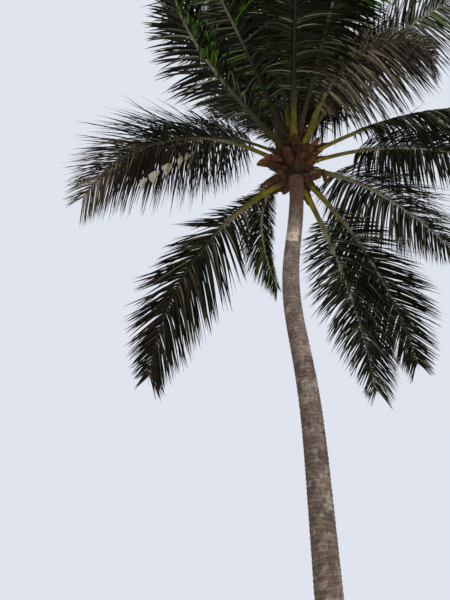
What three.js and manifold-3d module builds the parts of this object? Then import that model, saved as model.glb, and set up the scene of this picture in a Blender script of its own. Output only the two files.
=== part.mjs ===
// Coconut palm, a whole tree rooted in the ground. Millimetres and degrees, +Z up.
// The origin is the centre of the flat cut under the trunk, and the trunk is first seen from -Y.
import * as THREE from "three";
import { mergeVertices } from "three/addons/utils/BufferGeometryUtils.js";
import Module from "manifold-3d";

const wasm = await Module();
wasm.setup();

// Driving dimensions
const gap = 0.3; // between two pieces that touch

const trunk = {
  height: 8950,
  sides: 18,
  rings: 34,
  ringCrowding: 1.25, // rings lie closer together over the root flare
  radiusAtGround: 178,
  taper: 0.0073, // radius lost for each millimetre of height
  flareRadius: 112,
  flareHeight: 420,
  neckSwell: 16, // the top widens under the leaf bases
  neckFrom: 8500,
  bow: -146, // sideways bow at bowHeight, which dies away over bowSpread
  bowHeight: 6600,
  bowSpread: 1200,
  shift: 80, // the crown stands this far to one side
  shiftFrom: 7000,
  shiftTo: 9000,
};

// The column of overlapping leaf bases: height above the trunk's top, and radius there.
const baseColumn = {
  sides: 16,
  profile: [
    [0, 132],
    [90, 172],
    [300, 205],
    [620, 192],
    [830, 150],
    [1010, 104],
    [1090, 78],
  ],
};

const spear = { length: 2300, radius: 34, tipRadius: 5, sides: 6, rings: 4, lean: 0.05 };

const rib = {
  petiole: 1080, // bare stalk before the first leaflet
  petioleMarks: [0, 0.2, 0.55], // its sections, as shares of it
  halfWidth: [44, 25, 5], // at the base, at the first leaflet and at the tip
  halfThickness: [25, 15, 4],
  narrowing: 0.6, // the stalk narrows fastest near its base
  rootDepth: 45, // how far the stalk starts inside the base column, before it is cut there
  step: 10, // the rib is followed in steps of this length
  point: 330, // end leaflet
  pointFall: 82, // and how far it hangs
};

const leaflet = {
  cells: 15, // leaflets on each side
  length: 0.275, // longest, as a share of the frond's length
  shortest: 0.4, // share of that at both ends of the blade
  fullest: 0.75, // puts the longest at about two fifths of the blade
  halfWidth: 56,
  endWidth: 0.62, // share of that at both ends of the blade
  stuntedWidth: 0.45, // share of it kept by a leaflet of no length, where one is shortened
  halfThickness: 6.5,
  bendAt: 0.45, // share of the length where the leaflet bends
  forward: [72, 40], // angle to the rib at the first and last leaflet
  stiffEnds: 0.5, // share of its frond's hang that a leaflet has at both ends of the blade
  lift: 14, // angle above the blade's plane where it leaves the rib
  clearance: 4,
  trials: [1, 0.82, 0.64, 0.46, 0.3], // shares of its length tried before it is left out
};

const splitDroop = 75; // a frond that bends further than this is split in two at the bend,
const outerShare = 0.55; // with this share of its blade in the outer piece

// Fronds whose two rows of leaflets differ, by number. Each pair is for the left and right row:
// how far they hang, their lift, their share of the usual length, and how much further from the
// rib they turn at its first end.
const unevenFronds = {
  1: { hang: [0.6, 2], lift: [30, 14], reach: [0.8, 1], spread: [10, 0] },
  2: { hang: [0.5, 2.4], lift: [-25, 14], reach: [0.85, 1.05], spread: [0, 0] },
  3: { hang: [2, 0.6], lift: [0, -10], reach: [0.9, 0.9], spread: [0, 5] },
  5: { hang: [0.8, 1.6], lift: [-5, 0], reach: [1.2, 1.1], spread: [0, -12] },
  6: { hang: [1.5, 1.5], lift: [14, 14], reach: [0.8, 1], spread: [0, 0] },
  7: { hang: [2, 2], lift: [14, 20], reach: [1, 0.85], spread: [0, 0], taper: [0, 0.3] },
  8: { hang: [3, 1.4], lift: [0, 0], reach: [0.85, 0.4], spread: [0, 0] },
  9: { hang: [3.4, 1.2], lift: [14, 80], reach: [1, 0.9], spread: [0, 10], taper: [0, 0.65] },
  11: { hang: [1.8, 2.6], lift: [14, -5], reach: [1, 0.75], spread: [0, 0] },
  12: { hang: [2.6, 2.6], lift: [14, 14], reach: [1, 0.55], spread: [0, 0] },
  20: { hang: [1.8, 1.8], lift: [14, 14], reach: [1, 0.55], spread: [0, 0] },
};

// Fronds from the oldest to the youngest: azimuth from +X, rise of the stalk, droop by the tip,
// length, sideways sweep, height of the base above the trunk's top, how late the droop comes,
// roll about the rib (right side up), and how far the leaflets hang.
const fronds = [
  [60, -14, 46, 4700, 10, 100, 1.5, 0, 2.6],
  [138, 0, 88, 5000, -20, 150, 1.5, -10, 1.7],
  [46, -10, 50, 4600, 14, 222, 1.5, 0, 2.6],
  [43, 34, 76, 4900, -16, 335, 1.5, 0, 1.7],
  [166, 46, 123, 4900, -10, 400, 1.7, 5, 1.6],
  [14, 33, 62, 4800, -5, 410, 1.5, -10, 1.5],
  [-48, 62, 190, 3900, 60, 455, 2.2, 0, 2],
  [110, 26, 75, 3900, -56, 430, 1.5, -25, 3],
  [-129, -1, 55, 4500, 62, 480, 2.5, -50, 3.4],
  [-94, 28, 50, 4600, 4, 560, 1.5, 0, 1.6],
  [-16, 22, 73, 4650, 8, 500, 1.5, -30, 1.8],
  [-74, 39, 44, 4800, -8, 690, 1.5, 0, 2.6],
  [-127, 49, 45, 4800, 6, 680, 1.5, -25, 1.2],
  [-23, 56, 49, 4800, 1, 720, 1.5, 25, 1.7],
  [154, 50, 82, 4500, -2, 620, 1.5, 0, 2],
  [84, 78, 44, 4600, -6, 650, 1.5, 0, 1.4],
  [6, 74, 44, 4550, -5, 590, 1.5, 0, 1.4],
  [118, 76, 52, 4500, 3, 760, 1.5, 0, 1.2],
  [52, 76, 50, 4500, -4, 790, 1.5, 0, 1.2],
  [-60, 60, 54, 4500, 4, 810, 1.5, 0, 1.8],
  [-108, 62, 56, 4500, -5, 820, 1.5, 0, 1.8],
  [190, 74, 46, 4300, 3, 740, 1.5, 0, 1.2],
  [36, 82, 38, 4200, -4, 900, 1.5, 0, 0.9],
  [165, 81, 38, 4150, 5, 900, 1.5, 0, 0.8],
  [-66, 80, 40, 4200, 4, 920, 1.5, 0, 0.8],
  [-146, 78, 42, 4250, -4, 900, 1.5, 0, 0.8],
  [100, 83, 34, 4100, 3, 930, 1.5, 0, 0.7],
].map(([azimuth, rise, droop, length, sweep, base, lateness, roll, hang], index) => {
  const even = { hang: [hang, hang], lift: [leaflet.lift, leaflet.lift], reach: [1, 1], spread: [0, 0] };
  const rows = unevenFronds[index + 1] ?? even;
  return { azimuth, rise, droop, length, sweep, base, lateness, roll, rows };
});

// Dry flower sheaths: azimuth, rise, length, half width, height of the base, and how far they curl.
const sheaths = [
  ["dry_sheath_left", 196, -8, 560, 72, 330, -30],
  ["dry_sheath_upper", -31, 42, 560, 46, 330, 18],
  ["dry_sheath_left_lower", 166, -14, 520, 44, 165, -20],
];
const sheath = {
  steps: 6,
  footWidth: 0.3, // share of the half width at its foot
  swell: [0.12, 0.92], // part of a sine's hump that its outline follows
  section: [[-1, 0.25], [0, 0.05], [1, 0.25], [0.6, -0.4], [-0.6, -0.4]], // across and up
};

// Old fruit stalks: azimuth, height of the base, stalk length, and the nuts along it as
// share of the stalk, turn round it, and length of the nut.
const fruitStalks = [
  ["fruit_stalk_right", -24, 170, 420, [[0.72, 40, 130], [0.84, 190, 120], [0.95, 310, 140]]],
  ["fruit_stalk_left", -160, 120, 330, [[0.78, 200, 150], [0.93, 20, 170]]],
];
const fruit = {
  stalkRadius: 17,
  rise: 10, // angle at which the stalk leaves the column
  fall: 62, // and at which it hangs further out
  steps: 7,
  curveSegments: 3,
  sides: 8, // of a nut
  fatness: 0.76, // a nut's width to its length
  reach: 0.42, // how far its middle lies from the stalk, as a share of its length
  sag: 0.4,
};

// Helpers
const radians = THREE.MathUtils.degToRad;
const smooth = (low, high, value) => THREE.MathUtils.smoothstep(value, low, high);
const mix = (pair, share) => pair[0] + (pair[1] - pair[0]) * share;

function trunkCentre(height) {
  const away = (height - trunk.bowHeight) / trunk.bowSpread;
  const side = trunk.bow * Math.exp(-away * away);
  return side + trunk.shift * smooth(trunk.shiftFrom, trunk.shiftTo, height);
}

function trunkRadius(height) {
  const flare = trunk.flareRadius * Math.exp(-((height / trunk.flareHeight) ** 2));
  const neck = trunk.neckSwell * smooth(trunk.neckFrom, trunk.height, height);
  return trunk.radiusAtGround - trunk.taper * height + flare + neck;
}

const crownCentre = trunkCentre(trunk.height);
const crownFoot = trunk.height + gap;

// Vertices and triangles of one closed body, and what is made of them.
class Body {
  constructor() {
    this.vertices = [];
    this.triangles = [];
  }

  add(point) {
    this.vertices.push(point);
    return this.vertices.length - 1;
  }

  quad(a, b, c, d) {
    this.triangles.push([a, b, c], [a, c, d]);
  }

  // Walls from one loop of vertices to the next.
  join(from, to) {
    from.forEach((a, i) => {
      const j = (i + 1) % from.length;
      this.quad(a, from[j], to[j], to[i]);
    });
  }

  // Walls from a loop to a point.
  close(loop, point) {
    loop.forEach((a, i) => this.triangles.push([a, loop[(i + 1) % loop.length], point]));
  }

  solid() {
    return new wasm.Manifold(
      new wasm.Mesh({
        numProp: 3,
        vertProperties: new Float32Array(this.vertices.flatMap((v) => v.toArray())),
        triVerts: new Uint32Array(this.triangles.flat()),
      }),
    );
  }
}

function solidOfGeometry(geometry) {
  const plain = geometry.clone();
  plain.deleteAttribute("normal");
  plain.deleteAttribute("uv");
  const merged = mergeVertices(plain);
  return new wasm.Manifold(
    new wasm.Mesh({
      numProp: 3,
      vertProperties: new Float32Array(merged.attributes.position.array),
      triVerts: new Uint32Array(merged.index.array),
    }),
  );
}

function meshOf(solid, name, material) {
  const made = solid.getMesh();
  const geometry = new THREE.BufferGeometry();
  geometry.setAttribute("position", new THREE.BufferAttribute(made.vertProperties, made.numProp));
  geometry.setIndex(new THREE.BufferAttribute(made.triVerts, 1));
  geometry.computeVertexNormals();
  const mesh = new THREE.Mesh(geometry, material);
  mesh.name = name;
  return mesh;
}

// A body whose rings are circles round upright centres, closed flat at both ends.
function stackOfRings(rings, sides) {
  const body = new Body();
  const loops = rings.map(({ centre, radius }) =>
    Array.from({ length: sides }, (_, i) => {
      const turn = (2 * Math.PI * i) / sides;
      const out = new THREE.Vector3(Math.cos(turn), Math.sin(turn), 0).multiplyScalar(radius);
      return body.add(out.add(centre));
    }),
  );
  for (let i = 1; i < loops.length; i++) body.join(loops[i - 1], loops[i]);
  body.close([...loops[0]].reverse(), body.add(rings[0].centre));
  body.close(loops.at(-1), body.add(rings.at(-1).centre));
  return body.solid();
}

function trunkSolid() {
  const rings = Array.from({ length: trunk.rings + 1 }, (_, i) => {
    const height = trunk.height * (i / trunk.rings) ** trunk.ringCrowding;
    const centre = new THREE.Vector3(trunkCentre(height), 0, height);
    return { centre, radius: trunkRadius(height) };
  });
  return stackOfRings(rings, trunk.sides);
}

function baseColumnSolid(grown) {
  const points = baseColumn.profile.map(([z, r]) => new THREE.Vector2(r + grown, z));
  points.at(0).y -= grown;
  points.at(-1).y += grown;
  const profile = [new THREE.Vector2(0, points[0].y), ...points, new THREE.Vector2(0, points.at(-1).y)];
  const lathe = new THREE.LatheGeometry(profile, baseColumn.sides);
  lathe.rotateX(Math.PI / 2).translate(crownCentre, 0, crownFoot);
  return solidOfGeometry(lathe);
}

function baseColumnRadius(height) {
  const steps = baseColumn.profile;
  const next = Math.max(1, steps.findIndex(([z]) => z >= height));
  const [low, high] = [steps[next - 1], steps[next]];
  return mix([low[1], high[1]], (height - low[0]) / (high[0] - low[0]));
}

function spearSolid() {
  const foot = crownFoot + baseColumn.profile.at(-1)[0] + gap;
  const rings = Array.from({ length: spear.rings }, (_, i) => {
    const share = i / (spear.rings - 1);
    const rise = share * spear.length;
    const lean = spear.lean * rise * share;
    return {
      centre: new THREE.Vector3(crownCentre + lean, -lean, foot + rise),
      radius: mix([spear.radius, spear.tipRadius], share),
    };
  });
  return stackOfRings(rings, spear.sides);
}

// Frame along a stalk that leaves the base column: along it, to its right and above.
function frameOf(azimuth, rise, roll = 0) {
  const [a, e] = [radians(azimuth), radians(rise)];
  const frame = {
    along: new THREE.Vector3(Math.cos(e) * Math.cos(a), Math.cos(e) * Math.sin(a), Math.sin(e)),
    side: new THREE.Vector3(Math.sin(a), -Math.cos(a), 0),
    above: new THREE.Vector3(-Math.sin(e) * Math.cos(a), -Math.sin(e) * Math.sin(a), Math.cos(e)),
  };
  frame.side.applyAxisAngle(frame.along, -radians(roll));
  frame.above.applyAxisAngle(frame.along, -radians(roll));
  return frame;
}

function stalkFoot(azimuth, baseHeight) {
  const out = baseColumnRadius(baseHeight) - rib.rootDepth;
  const a = radians(azimuth);
  return new THREE.Vector3(
    crownCentre + out * Math.cos(a),
    out * Math.sin(a),
    crownFoot + baseHeight,
  );
}

// The stations along a frond's rib: one at each end of the stalk's pieces and of the leaflet cells.
function ribStations({ azimuth, rise, droop, length, sweep, base, lateness, roll }) {
  const marks = rib.petioleMarks.map((share) => share * rib.petiole);
  const cell = (length - rib.point - rib.petiole) / leaflet.cells;
  for (let i = 0; i <= leaflet.cells; i++) marks.push(rib.petiole + i * cell);
  const place = stalkFoot(azimuth, base);
  let reached = 0;
  let frame = frameOf(azimuth, rise, roll);
  return marks.map((mark) => {
    while (reached < mark) {
      const next = Math.min(rib.step, mark - reached);
      const bend = ((reached + next / 2) / length) ** lateness;
      frame = frameOf(azimuth + sweep * bend, rise - droop * bend, roll);
      place.addScaledVector(frame.along, next);
      reached += next;
    }
    return { mark, place: place.clone(), ...frame };
  });
}

function ribHalf(sizes, mark, length) {
  if (mark < rib.petiole) return mix([sizes[0], sizes[1]], (mark / rib.petiole) ** rib.narrowing);
  return mix([sizes[1], sizes[2]], (mark - rib.petiole) / (length - rib.petiole));
}

// Corners of the rib at a station, in the order top left, top right, bottom right, bottom left.
function ribCorners(station, length, push = 0) {
  const width = ribHalf(rib.halfWidth, station.mark, length);
  const thick = ribHalf(rib.halfThickness, station.mark, length);
  return [[-1, 1], [1, 1], [1, -1], [-1, -1]].map(([across, up]) =>
    station.place
      .clone()
      .addScaledVector(station.side, across * width)
      .addScaledVector(station.above, up * thick)
      .addScaledVector(station.along, push),
  );
}

// Middle loop and tip of a leaflet that grows from one cell of the rib, on one side of it. It
// leaves the rib forwards and outwards, and its own weight turns it down along its length.
function leafletShape(frond, stations, cell, side, share, grown = 0) {
  const first = stations.length - leaflet.cells - 1;
  const [near, far] = [stations[first + cell], stations[first + cell + 1]];
  const x = (cell + 0.5) / leaflet.cells;
  const span = Math.sin(Math.PI * x ** leaflet.fullest);
  const row = side < 0 ? 0 : 1;
  const { hang, lift: lifts, reach, spread, taper = [0, 0] } = frond.rows;
  const longest = leaflet.length * frond.length * reach[row] * (1 - taper[row] * x);
  const length = longest * share * mix([leaflet.shortest, 1], span);
  const forward = radians(mix(leaflet.forward, x) + spread[row] * (1 - x));
  const lift = radians(lifts[row]);
  const start = new THREE.Vector3()
    .addScaledVector(near.along, Math.cos(forward))
    .addScaledVector(near.side, side * Math.sin(forward) * Math.cos(lift))
    .addScaledVector(near.above, Math.sin(forward) * Math.sin(lift));
  const fall = new THREE.Vector3(0, 0, -hang[row] * mix([leaflet.stiffEnds, 1], span));
  const heading = (reached) => start.clone().addScaledVector(fall, reached).normalize();
  const root = near.place.clone().add(far.place).multiplyScalar(0.5);
  root.addScaledVector(near.side, side * ribHalf(rib.halfWidth, near.mark, frond.length));
  const { bendAt } = leaflet;
  const middle = root.clone().addScaledVector(heading(bendAt / 2), length * bendAt);
  const outer = heading((1 + bendAt) / 2);
  const tip = middle.clone().addScaledVector(outer, length * (1 - bendAt) + grown);
  const onward = heading(bendAt);
  const broad = near.along.clone().addScaledVector(onward, -near.along.dot(onward)).normalize();
  const flat = onward.clone().cross(broad).multiplyScalar(side);
  const narrowed = mix([leaflet.stuntedWidth, 1], share) * mix([leaflet.endWidth, 1], span);
  const half = leaflet.halfWidth * narrowed + grown;
  const thick = leaflet.halfThickness + grown;
  const corner = (forwards, up) =>
    middle.clone().addScaledVector(broad, forwards * half).addScaledVector(flat, up * thick);
  const loop =
    side > 0
      ? [corner(-1, 1), corner(-1, -1), corner(1, -1), corner(1, 1)]
      : [corner(-1, 1), corner(1, 1), corner(1, -1), corner(-1, -1)];
  return { loop, tip };
}

// The loop of rib corners that a leaflet grows from. Loops hold corner numbers or points.
function rootLoop(near, far, side) {
  return side > 0 ? [near[1], near[2], far[2], far[1]] : [near[0], far[0], far[3], near[3]];
}

function leafletAlone(frond, stations, cell, side, share) {
  const first = stations.length - leaflet.cells - 1;
  const near = ribCorners(stations[first + cell], frond.length);
  const far = ribCorners(stations[first + cell + 1], frond.length);
  const { loop, tip } = leafletShape(frond, stations, cell, side, share, leaflet.clearance);
  const body = new Body();
  const root = rootLoop(near, far, side).map((p) => body.add(p));
  const middle = loop.map((p) => body.add(p));
  body.join(root, middle);
  body.close(middle, body.add(tip));
  body.quad(root[3], root[2], root[1], root[0]);
  return body.solid();
}

// A frond's blade between two stations. chosen(cell, side) gives a leaflet's share of its full
// length, or 0 where there is none.
function frondBody(frond, stations, from, to, chosen) {
  const body = new Body();
  const first = stations.length - leaflet.cells - 1;
  const ends = { [from]: from > 0 ? gap / 2 : 0, [to]: to < stations.length - 1 ? -gap / 2 : 0 };
  const loops = stations
    .slice(from, to + 1)
    .map((s, i) => ribCorners(s, frond.length, ends[from + i] ?? 0).map((p) => body.add(p)));
  for (let i = 1; i < loops.length; i++) {
    const [near, far] = [loops[i - 1], loops[i]];
    body.quad(near[0], near[1], far[1], far[0]);
    body.quad(near[3], far[3], far[2], near[2]);
    const cell = from + i - 1 - first;
    for (const side of [-1, 1]) {
      const root = rootLoop(near, far, side);
      const share = cell >= 0 ? chosen(cell, side) : 0;
      if (share > 0) {
        const { loop, tip } = leafletShape(frond, stations, cell, side, share);
        const middle = loop.map((p) => body.add(p));
        body.join(root, middle);
        body.close(middle, body.add(tip));
      } else {
        body.quad(...root);
      }
    }
  }
  const [start, end] = [loops[0], loops.at(-1)];
  body.quad(start[0], start[3], start[2], start[1]);
  if (to === stations.length - 1) {
    const point = stations.at(-1).place.clone().addScaledVector(stations.at(-1).along, rib.point);
    body.close(end, body.add(point.setZ(point.z - rib.pointFall)));
  } else {
    body.quad(end[0], end[1], end[2], end[3]);
  }
  return body;
}

function boxesMeet(a, b) {
  return [0, 1, 2].every((k) => a.min[k] <= b.max[k] && b.min[k] <= a.max[k]);
}

// True where a solid shares space with one of the others whose box it meets.
function meets(solid, others) {
  const box = solid.boundingBox();
  return others.some((o) => boxesMeet(box, o.box) && solid.intersect(o.solid).volume() > 0);
}

const boxed = (solid, owner) => ({ solid, owner, box: solid.boundingBox() });

// Boat-shaped dry sheath of a flower, which ends in a point.
function sheathSolid([, azimuth, rise, length, halfWidth, base, curl]) {
  const body = new Body();
  const place = stalkFoot(azimuth, base);
  const foot = body.add(place.clone());
  let loop;
  for (let i = 0; i < sheath.steps; i++) {
    const share = i / sheath.steps;
    const frame = frameOf(azimuth, rise + curl * share);
    const hump = Math.sin(Math.PI * mix(sheath.swell, share));
    const half = halfWidth * mix([sheath.footWidth, 1], hump);
    const corners = sheath.section.map(([across, up]) => {
      const corner = place.clone().addScaledVector(frame.side, across * half);
      return body.add(corner.addScaledVector(frame.above, up * half));
    });
    if (loop) body.join(loop, corners);
    else body.close([...corners].reverse(), foot);
    loop = corners;
    place.addScaledVector(frame.along, length / sheath.steps);
  }
  body.close(loop, body.add(place));
  return body.solid();
}

// A drooping stalk with its last small nuts, joined to it.
function fruitStalkSolid([, azimuth, base, length, nuts]) {
  const foot = stalkFoot(azimuth, base);
  const out = frameOf(azimuth, fruit.rise).along.multiplyScalar(length / 2);
  const down = frameOf(azimuth, -fruit.fall).along.multiplyScalar(length / 2);
  const elbow = foot.clone().add(out);
  const curve = new THREE.QuadraticBezierCurve3(foot, elbow, elbow.clone().add(down));
  const section = new THREE.Shape();
  section.absarc(0, 0, fruit.stalkRadius, 0, 2 * Math.PI);
  const { steps, curveSegments } = fruit;
  const options = { steps, curveSegments, extrudePath: curve, bevelEnabled: false };
  let solid = solidOfGeometry(new THREE.ExtrudeGeometry(section, options));
  for (const [share, turn, size] of nuts) {
    const nut = new THREE.SphereGeometry(size / 2, fruit.sides, fruit.sides - 2);
    nut.rotateX(Math.PI / 2).scale(fruit.fatness, fruit.fatness, 1);
    const at = curve.getPoint(share);
    const away = size * fruit.reach;
    const side = new THREE.Vector3(Math.cos(radians(turn)), Math.sin(radians(turn)), -fruit.sag);
    nut.translate(...at.addScaledVector(side, away).toArray());
    solid = solid.add(solidOfGeometry(nut));
  }
  return solid;
}

// Colours and finish
const bark = new THREE.MeshStandardMaterial({ color: 0x8a7a6c, roughness: 0.95 });
const fibre = new THREE.MeshStandardMaterial({ color: 0x6e4a2c, roughness: 0.95 });
const stalkGreen = new THREE.MeshStandardMaterial({ color: 0x7d8030, roughness: 0.55 });
const leafGreen = new THREE.MeshStandardMaterial({ color: 0x3b4a22, roughness: 0.6 });
const husk = new THREE.MeshStandardMaterial({ color: 0x5a3a22, roughness: 0.85 });

const palm = new THREE.Group();
const obstacles = [];

// Adds a piece that keeps its place, which the leaflets then stay clear of.
function place(name, solid, material) {
  palm.add(meshOf(solid, name, material));
  obstacles.push(boxed(solid, name));
}

const columnCut = baseColumnSolid(gap);
place("trunk", trunkSolid(), bark);
place("leaf_base_column", baseColumnSolid(0), fibre);
place("spear_leaf", spearSolid(), stalkGreen);
for (const row of sheaths) place(row[0], sheathSolid(row).subtract(columnCut), husk);
for (const row of fruitStalks) place(row[0], fruitStalkSolid(row).subtract(columnCut), husk);

// Every rib stands before the first leaflet grows, so that no leaflet crosses one.
const ribs = fronds.map(ribStations);
fronds.forEach((frond, index) => {
  const bare = frondBody(frond, ribs[index], 0, ribs[index].length - 1, () => 0).solid();
  obstacles.push(boxed(bare, index));
});

// The leaflets of one frond, each as long as its neighbours on other fronds leave room for.
function grownLeaflets(frond, stations, index) {
  const shares = new Map();
  const others = obstacles.filter((o) => o.owner !== index);
  for (let cell = 0; cell < leaflet.cells; cell++) {
    for (const side of [-1, 1]) {
      const alone = (trial) => leafletAlone(frond, stations, cell, side, trial);
      const share = leaflet.trials.find((trial) => !meets(alone(trial), others));
      if (!share) continue;
      shares.set(`${cell},${side}`, share);
      obstacles.push(boxed(alone(share), index));
    }
  }
  return (cell, side) => shares.get(`${cell},${side}`) ?? 0;
}

fronds.forEach((frond, index) => {
  const stations = ribs[index];
  const name = `frond_${String(index + 1).padStart(2, "0")}`;
  const chosen = grownLeaflets(frond, stations, index);
  const last = stations.length - 1;
  const bend = last - Math.round(leaflet.cells * outerShare);
  const split = [["_inner", 0, bend], ["_outer", bend, last]];
  for (const [part, from, to] of frond.droop > splitDroop ? split : [["", 0, last]]) {
    const solid = frondBody(frond, stations, from, to, chosen).solid();
    const clear = from === 0 ? solid.subtract(columnCut) : solid;
    palm.add(meshOf(clear, name + part, leafGreen));
  }
});

export default palm;
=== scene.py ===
import math

import bpy
import numpy as np
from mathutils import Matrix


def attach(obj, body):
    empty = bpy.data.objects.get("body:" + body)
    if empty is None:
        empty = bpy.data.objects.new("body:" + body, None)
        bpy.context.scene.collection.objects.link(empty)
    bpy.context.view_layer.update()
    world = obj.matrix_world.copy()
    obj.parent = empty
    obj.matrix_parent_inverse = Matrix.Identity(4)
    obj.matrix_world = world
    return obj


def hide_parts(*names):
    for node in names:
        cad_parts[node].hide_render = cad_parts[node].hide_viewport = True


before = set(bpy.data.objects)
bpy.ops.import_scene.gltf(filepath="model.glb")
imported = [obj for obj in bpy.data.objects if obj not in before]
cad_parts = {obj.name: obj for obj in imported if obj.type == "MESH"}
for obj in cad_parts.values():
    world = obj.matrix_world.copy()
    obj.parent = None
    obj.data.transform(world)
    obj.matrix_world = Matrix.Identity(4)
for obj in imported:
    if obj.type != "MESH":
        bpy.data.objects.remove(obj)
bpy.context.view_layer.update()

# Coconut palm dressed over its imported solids. Metres, +Z up, first seen from -Y.
scene = bpy.context.scene
random = np.random.default_rng(27)


def linear(hexColour):
    parts = [int(hexColour[i:i + 2], 16) / 255 for i in (1, 3, 5)]
    return [c / 12.92 if c <= 0.04045 else ((c + 0.055) / 1.055) ** 2.4 for c in parts] + [1.0]


def smooth(low, high, value):
    share = np.clip((value - low) / (high - low), 0, 1)
    return share * share * (3 - 2 * share)


def between(ends, share):
    return ends[0] + (ends[1] - ends[0]) * share


def unit(vectors):
    return vectors / np.linalg.norm(vectors, axis=-1, keepdims=True)


def addNode(tree, kind, links=None, stops=(), **settings):
    # stops: the places along a colour ramp, each with its colour or its grey
    node = tree.nodes.new(kind)
    for name, value in settings.items():
        setattr(node, name, value)
    for key, value in (links or {}).items():
        if isinstance(value, bpy.types.NodeSocket):
            tree.links.new(value, node.inputs[key])
        else:
            node.inputs[key].default_value = value
    if stops:
        elements = node.color_ramp.elements
        for _ in stops[2:]:
            elements.new(0.5)
        for element, (at, colour) in zip(elements, stops):
            element.position = at
            element.color = linear(colour) if isinstance(colour, str) else [colour] * 3 + [1]
    return node


def meshOf(name, vertices, quads, triangles=(), values=None):
    # values: point attributes by name
    quads = np.asarray(quads, np.int32).reshape(-1, 4)
    triangles = np.asarray(triangles, np.int32).reshape(-1, 3)
    corners = np.concatenate([quads.ravel(), triangles.ravel()])
    sizes = np.concatenate([np.full(len(quads), 4), np.full(len(triangles), 3)])
    mesh = bpy.data.meshes.new(name)
    mesh.vertices.add(len(vertices))
    mesh.vertices.foreach_set("co", np.asarray(vertices, np.float32).ravel())
    mesh.loops.add(len(corners))
    mesh.loops.foreach_set("vertex_index", corners)
    mesh.polygons.add(len(sizes))
    mesh.polygons.foreach_set("loop_start", (np.cumsum(sizes) - sizes).astype(np.int32))
    mesh.update(calc_edges=True)
    for key, value in (values or {}).items():
        layer = mesh.attributes.new(key, "FLOAT", "POINT")
        layer.data.foreach_set("value", np.asarray(value, np.float32).ravel())
    return mesh


def roundTurn(sides):
    return np.arange(sides) * 2 * math.pi / sides


def tubeFaces(rows, sides, capped=True):
    # faces of rings of vertices in a row, with a centre vertex for each end after them
    i, j = np.meshgrid(np.arange(rows - 1), np.arange(sides), indexing="ij")
    a, b = i * sides + j, i * sides + (j + 1) % sides
    quads = np.stack([a, b, b + sides, a + sides], -1).reshape(-1, 4)
    if not capped:
        return quads, []
    around = np.arange(sides)
    foot, top = rows * sides, rows * sides + 1
    low = np.stack([(around + 1) % sides, around, np.full(sides, foot)], -1)
    base = (rows - 1) * sides
    high = np.stack([base + around, base + (around + 1) % sides, np.full(sides, top)], -1)
    return quads, np.concatenate([low, high])


def sweep(places, sides, aboves, section):
    # rings of a section along a path, with the section's corners as (across, up) at each place
    return places[:, None] + sides[:, None] * section[..., :1] + aboves[:, None] * section[..., 1:]


def closedTube(ring, values, ends=None):
    # a row of rings as one closed shape: vertices, quads, triangles and the values it is given
    ends = [ring[0].mean(0), ring[-1].mean(0)] if ends is None else ends
    vertices = np.concatenate([ring.reshape(-1, 3), ends])
    return (vertices, *tubeFaces(*ring.shape[:2]), values)


def addObject(name, data):
    made = bpy.data.objects.new(name, data)
    scene.collection.objects.link(made)
    return made


def addPiece(name, mesh, material, replaced=(), sharp=35):
    # sharp: edges steeper than this many degrees stay crisp, and 0 smooths them all
    mesh.materials.clear()
    mesh.materials.append(material)
    mesh.polygons.foreach_set("use_smooth", np.ones(len(mesh.polygons), bool))
    if sharp:
        mesh.set_sharp_from_angle(angle=math.radians(sharp))
    piece = addObject(name, mesh)
    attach(piece, "root")
    if replaced:
        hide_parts(*replaced)
    mesh.calc_loop_triangles()
    print(f"{name}: {len(mesh.loop_triangles)} triangles")


def treeOf(name, inputs):
    # a Geometry Nodes tree with a geometry in and out and the named number inputs
    tree = bpy.data.node_groups.new(name, "GeometryNodeTree")
    tree.interface.new_socket("Geometry", in_out="INPUT", socket_type="NodeSocketGeometry")
    for key, kind in inputs.items():
        tree.interface.new_socket(key, in_out="INPUT", socket_type="NodeSocket" + kind)
    tree.interface.new_socket("Geometry", in_out="OUTPUT", socket_type="NodeSocketGeometry")
    return tree, tree.nodes.new("NodeGroupInput").outputs


def closeTree(tree, geometry, material):
    real = addNode(tree, "GeometryNodeRealizeInstances", {"Geometry": geometry})
    dressed = addNode(tree, "GeometryNodeSetMaterial", {"Geometry": real.outputs[0], "Material": material})
    addNode(tree, "NodeGroupOutput", {0: dressed.outputs[0]})


def grownMesh(mesh, tree, values):
    # the plain mesh that a tree makes of a mesh, with its inputs set by their identifiers
    carrier = addObject("carrier", mesh)
    modifier = carrier.modifiers.new("grow", "NODES")
    modifier.node_group = tree
    for item in tree.interface.items_tree:
        if item.item_type == "SOCKET" and item.in_out == "INPUT" and item.name in values:
            modifier[item.identifier] = values[item.name]
    graph = bpy.context.evaluated_depsgraph_get()
    made = bpy.data.meshes.new_from_object(
        carrier.evaluated_get(graph), preserve_all_data_layers=True, depsgraph=graph)
    carrier.modifiers.clear()
    bpy.data.objects.remove(carrier)
    return made


# The camera stands where the photographer of a tall palm would, and looks up. The light is soft
# and pale, with a weak wide sun from the right.
view = {"place": (-1.10, -7.0, 1.6), "pitch": 35, "lens": 36, "sensor": 36, "reach": 400}
stageLook = {"floor": 60, "floorColour": "#d6d2ca", "floorRough": 0.9,
             "sky": "#dfe4ee", "backdrop": 1.0, "skyLight": 0.55,
             "sun": 3.0, "sunAngle": 28, "sunTurn": (38, 16, 0)}


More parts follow.
